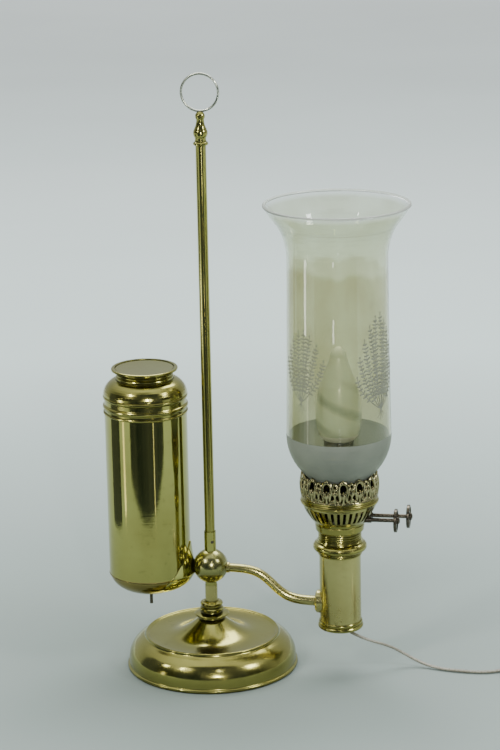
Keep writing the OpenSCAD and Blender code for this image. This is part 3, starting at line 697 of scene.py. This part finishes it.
def make_coronet():
    steps = 24
    vs = np.linspace(0, CORONET_HIGH, 65)
    strokes = [[(x, y * TALLER, w + BOLDER) for x, y, w in stroke] for stroke in coronet_strokes()]
    half = strokes_field(np.linspace(0, HALF, steps + 1), vs, strokes)
    half = np.minimum(np.maximum(half, BAND - vs[None, :]), EDGE + 0.1)
    field = [half[min(k, 2 * steps - k)].tolist() for k in range(2 * steps)] * REPEATS

    def place(u, v, side, d):
        a = u / CORONET_R
        swell = RELIEF * math.sqrt(max(min(d, EDGE), 0) / EDGE)
        r = coronet_wall(v) - 0.75 + (swell if side else -0.45)
        return Vector((AXIS_X + r * math.cos(a) * MM, r * math.sin(a) * MM, (CORONET_Z + v) * MM))

    verts, faces = sheet_from(field, PITCH_MM * REPEATS, CORONET_HIGH, place, True)
    piece = add_mesh("coronet_scrolls", verts, faces, "frame", material=relief_mat)
    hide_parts("coronet")


make_coronet()

# ---------------------------------------------------------------- etched sprays


def leaf(x, y, angle, length, half):
    """One leaf as a stroke from (x, y), at an angle from upright in degrees."""
    a = math.radians(angle)
    return [(x + math.sin(a) * length * t, y + math.cos(a) * length * t, half * w)
            for t, w in ((0, 0.35), (0.35, 0.8), (0.65, 1.0), (0.9, 0.75), (1, 0.3))]


def frond(lean, tall, bow, first, leaf_long):
    """A bending stem from the foot of the spray, with pairs of small leaves up to its tip, in mm."""
    count = round(tall / 3.4)
    line = []
    for k in range(count + 1):
        t = k / count
        line.append((lean * t ** 0.8 + bow * math.sin(math.pi * t), tall * t, 0.5 - 0.2 * t))
    strokes = [line]
    for k in range(first, count):
        (x0, y0, _), (x, y, _) = line[k - 1], line[k]
        heading = math.degrees(math.atan2(x - x0, y - y0))
        size = leaf_long * (1 - 0.45 * k / count)
        for way in (1, -1):
            angle = heading + way * (58 + 9 * (k % 2))
            strokes.append(leaf(x, y, angle, size * (0.8 + 0.2 * (k % 3)), 0.82))
    strokes.append(leaf(line[-1][0], line[-1][1], 0, 2.6, 0.7))
    return strokes


# one frond each: how far its tip leans, its height, its bow, its first leaf and that leaf's length
FULL_SPRAY = ((-24, 50, -3, 3, 4.6), (-19, 66, -2, 4, 4.8), (-13, 78, 1, 4, 5.0), (-6, 86, -2, 4, 5.2),
              (1, 88, 2, 4, 5.2), (7, 80, 1, 4, 5.0), (13, 72, 3, 4, 4.8), (19, 58, 3, 3, 4.6),
              (24, 40, 4, 3, 4.2), (-27, 32, -4, 3, 4.0))
LOW_SPRAY = ((-24, 40, -3, 3, 4.6), (-17, 54, -1, 3, 4.8), (-10, 62, 1, 3, 5.0), (-3, 66, -1, 3, 5.2),
             (4, 64, 1, 3, 5.0), (11, 58, 1, 3, 5.0), (17, 48, 2, 3, 4.8), (23, 36, 3, 3, 4.6))


def spray_strokes(side, fronds):
    """A generic sprig: leafy stems that fan up from one tie, and bare ends below it, in mm."""
    strokes = []
    for one in fronds:
        strokes += frond(*one)
    for lean, low in ((-5, -8), (-1.5, -11), (2.4, -9), (5.6, -6)):
        strokes.append([(0, 0.6, 0.4), (lean * 0.4, low * 0.5, 0.32), (lean, low, 0.18)])
    strokes.append([(-1.8, 2.4, 0.5), (0, 1.8, 0.6), (1.8, 2.4, 0.5)])
    return [[(side * x, y, w) for x, y, w in stroke] for stroke in strokes]


def glass_radius(z):
    """Outside radius of the shade's straight part, in mm, by height in mm: it has a slight waist."""
    return 48.6 - 0.0205 * (z - 240) + 0.000042 * (z - 240) ** 2


def make_spray(name, azimuth, foot_z, side, fronds, material):
    """A spray on the glass, its tie at foot_z mm; side -1 mirrors it."""
    wide, low, high = 62.0, -13.0, 111.0
    us, vs = np.linspace(-wide / 2, wide / 2, 190), np.linspace(low, high, 380)
    field = np.clip(strokes_field(us, vs, spray_strokes(side, fronds)), -1, 1)

    def place(du, dv, edge, d):
        z = foot_z + low + dv
        a = math.radians(azimuth) + (du - wide / 2) / 48
        r = glass_radius(z) + (0.17 if edge else 0.09)
        return Vector((AXIS_X + r * math.cos(a) * MM, r * math.sin(a) * MM, z * MM))

    verts, faces = sheet_from(field.tolist(), wide, high - low, place, False)
    piece = add_mesh(name, verts, faces, "shade", material=material)


make_spray("etched_spray_right", -30, 264, 1, FULL_SPRAY, etched("etched", 0.62))
make_spray("etched_spray_left", -128, 272, -1, LOW_SPRAY, etched("etched_soft", 0.45))

# ---------------------------------------------------------------- font bracket

FONT_X, CASING_R, DISH_R, DISH_H, DISH_Z = -58.2, 38.7, 37.7, 20.0, 91.0
NECK_X, NECK_R, NECK_Z = -14, 5.0, 95.5
SADDLE_W, SADDLE_UP, SADDLE_DOWN, SADDLE_Z, FLARE = 30.5, 34.0, 15.5, 88.0, 2.4


def casing_x(y, z):
    """Where the casing's wall, or its dished bottom, faces the rod."""
    r = CASING_R if z >= DISH_Z else DISH_R * math.sqrt(max(0, 1 - ((DISH_Z - z) / DISH_H) ** 2))
    return FONT_X + math.sqrt(max(0, r * r - y * y))


def bracket_point(t, phi):
    """The bracket's outline at t from 0, a round neck at the ball, to 1, a pointed saddle on the casing."""
    out = t ** FLARE
    up = math.sin(phi) > 0
    power = 1 + (0.7 * t if up else 0)
    c, s = math.cos(phi), math.sin(phi)
    y = (NECK_R + (SADDLE_W - NECK_R) * out) * math.copysign(abs(c) ** power, c)
    reach = NECK_R + ((SADDLE_UP if up else SADDLE_DOWN) - NECK_R) * out
    z = NECK_Z + (SADDLE_Z - NECK_Z) * out + reach * math.copysign(abs(s) ** power, s)
    return y, z


def make_bracket():
    """Rings from neck to saddle, then rings that shrink to close it against the casing."""
    sides, rings, lip = 96, 30, 5
    verts = []
    for i in range(rings):
        t = i / (rings - 1)
        for k in range(sides):
            y, z = bracket_point(t, 2 * math.pi * (k + 0.5) / sides)
            verts.append((NECK_X + (casing_x(y, z) + 1.0 - NECK_X) * t, y, z))
    for i in range(lip):
        shrink = 1 - i / lip * 0.98 if i else 0.995
        for k in range(sides):
            y, z = bracket_point(1, 2 * math.pi * (k + 0.5) / sides)
            y, z = y * shrink, SADDLE_Z + (z - SADDLE_Z) * shrink
            verts.append((casing_x(y, z) - 0.4, y, z))
    faces = skin(rings + lip, sides)
    faces.append(tuple(range(sides)))
    faces.append(tuple((rings + lip - 1) * sides + k for k in range(sides)))
    verts = [Vector(v) * MM for v in verts]
    piece = add_mesh("bracket_saddle", verts, faces, "frame", material=brass_mat)
    sharpen(piece, 50)
    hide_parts("font_bracket")


make_bracket()

# ---------------------------------------------------------------- foot

DOME_R, STEP_R, STEP_Z, FOOT_TOP_Z, SHEET = 81.2, 63.4, 32.8, 47.5, 1.4


def turned_curve(points, per):
    return [(p.x, p.y) for p in smooth_line([(r, z, 0) for r, z in points], per)]


def make_foot():
    """Spun foot: rolled edge, dome, bead of the step, a dished ring and a hollow cone."""
    edge = [(DOME_R - 1.6 + 1.6 * math.sin(a), 1.9 - 1.7 * math.cos(a))
            for a in (math.pi * k / 8 for k in range(9))]
    dome = turned_curve((
        (DOME_R - 1.7, 4.6), (DOME_R - 1.8, 10.0), (DOME_R - 3.0, 16.0), (DOME_R - 6.8, 22.6),
        (DOME_R - 11.6, 27.0), (STEP_R + 1.8, STEP_Z - 3.0)), 8)
    bead = [(STEP_R - 1.1 + 1.1 * math.cos(a), STEP_Z - 1.1 + 1.1 * math.sin(a))
            for a in (math.pi * (k - 2) / 9 for k in range(10))]
    dish_and_cone = turned_curve((
        (STEP_R - 3.2, STEP_Z - 1.7), (STEP_R - 9, STEP_Z - 2.2), (46.0, STEP_Z - 2.3),
        (38.5, STEP_Z - 1.7), (32.0, STEP_Z + 0.3), (25.5, STEP_Z + 3.6), (19.0, STEP_Z + 8.0),
        (14.0, STEP_Z + 11.9), (11.5, FOOT_TOP_Z - 1.4), (11.0, FOOT_TOP_Z)), 6)
    outer = edge + dome + bead + dish_and_cone
    line = outer + [(r - SHEET, max(z - SHEET * 0.6, 0.2)) for r, z in reversed(outer)]
    steps = 180
    verts = [Vector((r * math.cos(a), r * math.sin(a), z)) * MM
             for a in (math.tau * k / steps for k in range(steps)) for r, z in line]
    piece = add_mesh("foot_shell", verts, skin(steps, len(line), wrap=True), "stand", material=soft_mat)
    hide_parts("base_shell")


make_foot()

# ---------------------------------------------------------------- floor, light


FLOOR_HALF = 14
AIM = Vector((0.03, 0, 0.25))  # the lamp's middle, which the softboxes face


def make_floor():
    """Plain and pale, with painted shade that deepens its tone near the lamp."""
    verts = [(x * FLOOR_HALF, y * FLOOR_HALF, 0) for x, y in ((-1, -1), (1, -1), (1, 1), (-1, 1))]
    mat, tree, shader = new_material("floor")
    coords = object_coords(tree)
    cloud = ramp(tree, noise(tree, coords, 1.2, 3), ((0.3, (0.93, 0.93, 0.93)), (0.7, (1, 1, 1))))
    away = node(tree, "ShaderNodeVectorMath")
    away.operation = "LENGTH"
    tree.links.new(coords, away.inputs[0])
    # painted shade: the floor darkens towards the lamp and pales far off
    shade_near_lamp = ramp(tree, spread(tree, away.outputs["Value"], 0, 1, (0.1, 5.0)),
                 ((0.0, (0.22, 0.265, 0.245)), (0.22, (0.56, 0.655, 0.64)), (1.0, (0.95, 1.0, 1.0))))
    tone = mix(tree, 1.0, shade_near_lamp, cloud, "MULTIPLY")
    tree.links.new(tone, shader.inputs["Base Color"])
    shader.inputs["Roughness"].default_value = 0.9
    obj = add_mesh("floor", verts, [(0, 1, 2, 3)], None, smooth=False, material=mat)


def softbox(name, place, size, power, colour):
    data = bpy.data.lights.new(name, "AREA")
    data.shape = "RECTANGLE"
    data.size, data.size_y = size
    data.energy = power
    data.color = colour
    obj = bpy.data.objects.new(name, data)
    obj.location = place
    obj.rotation_euler = (AIM - Vector(place)).to_track_quat("-Z", "Y").to_euler()
    scene.collection.objects.link(obj)


def make_world():
    """Pale all round and overhead, and dim low down behind the camera, as in a room."""
    world = bpy.data.worlds.new("studio")
    scene.world = world
    world.use_nodes = True
    tree = world.node_tree
    back = tree.nodes["Background"]
    y, z = xyz(tree, tree.nodes.new("ShaderNodeTexCoord").outputs["Generated"])[1:]
    behind = spread(tree, y, 0, 1, (-0.2, 0.5))
    above = spread(tree, z, 0, 0.45, (0.75, 1.0))
    tone = ramp(tree, maths(tree, "MAXIMUM", behind, above),
                ((0.0, (0.055, 0.065, 0.045)), (0.5, (0.36, 0.40, 0.38)), (1.0, (0.53, 0.58, 0.56))))
    tone = mix(tree, spread(tree, z, 0, 1, (0.45, 0.95)), tone, (1.25, 1.32, 1.32))
    tree.links.new(tone, back.inputs[0])
    back.inputs[1].default_value = 1.1


def glow(name, dark, light, strength, scale):
    """What the reflection cards give off: a soft upright grain between two tones."""
    mat, tree, shader = new_material(name)
    tree.nodes.remove(shader)
    shine = node(tree, "ShaderNodeEmission", Strength=strength)
    grain = noise(tree, object_coords(tree), scale, 3, (1, 1, 0.3))
    tone = ramp(tree, grain, ((0.35, dark), (0.65, light)))
    tree.links.new(tone, shine.inputs[0])
    tree.links.new(shine.outputs[0], tree.nodes["Material Output"].inputs["Surface"])
    return mat


def card(name, ahead, left, right, low, high, mat, turn=0.0):
    """A studio flag or reflector, seen only in reflections: ahead metres in front of the lamp,
    from left to right of the line to the camera, and turned about the lamp by turn degrees."""
    a = math.radians(turn)
    front = Vector((math.sin(YAW + a), -math.cos(YAW + a), 0))
    side = Vector((math.cos(YAW + a), math.sin(YAW + a), 0))
    foot = front * ahead
    corners = ((left, low), (right, low), (right, high), (left, high))
    verts = [foot + side * x + UP * z for x, z in corners]
    obj = add_mesh(name, verts, [(0, 1, 2, 3)], None, smooth=False, material=mat)
    obj.visible_camera = obj.visible_diffuse = obj.visible_transmission = False
    obj.visible_shadow = obj.visible_volume_scatter = False


make_floor()
make_world()
flag = glow("flag", (0.033, 0.050, 0.062), (0.115, 0.138, 0.165), 1.0, 5)
strip = glow("strip", (0.95, 0.90, 0.74), (1, 1, 0.95), 3.4, 3)
flash = glow("flash", (1, 1, 0.95), (1, 1, 1), 14, 3)
card("flag_front", 0.47, -0.50, 0.50, 0.0, 1.25, flag)
card("flag_left", 0.50, -0.13, 0.13, 0.0, 0.40, flag, -92)
card("strip_line", 0.462, 0.116, 0.126, 0.0, 0.15, strip)
card("strip_left", 0.55, -0.022, 0.022, 0.0, 0.16, strip, -66)
card("glint_left", 0.38, -0.022, 0.022, 0.225, 0.295, flash, -70)
card("glint_bulb", 0.46, 0.07, 0.10, 0.36, 0.48, flash)
card("flash_spot", 0.455, 0.02, 0.045, 0.235, 0.26, flash)
softbox("key", (-1.3, -1.7, 2.0), (0.35, 0.5), 26, (1, 0.99, 0.95))
softbox("fill", (1.9, -0.6, 1.6), (0.5, 0.5), 18, (0.95, 0.98, 1))
softbox("top", (0.0, 1.5, 2.3), (2.6, 1.2), 75, (0.97, 0.99, 1))
softbox("lamp", (0.62, -2.2, 0.95), (0.09, 0.09), 16, (1, 1, 0.97))
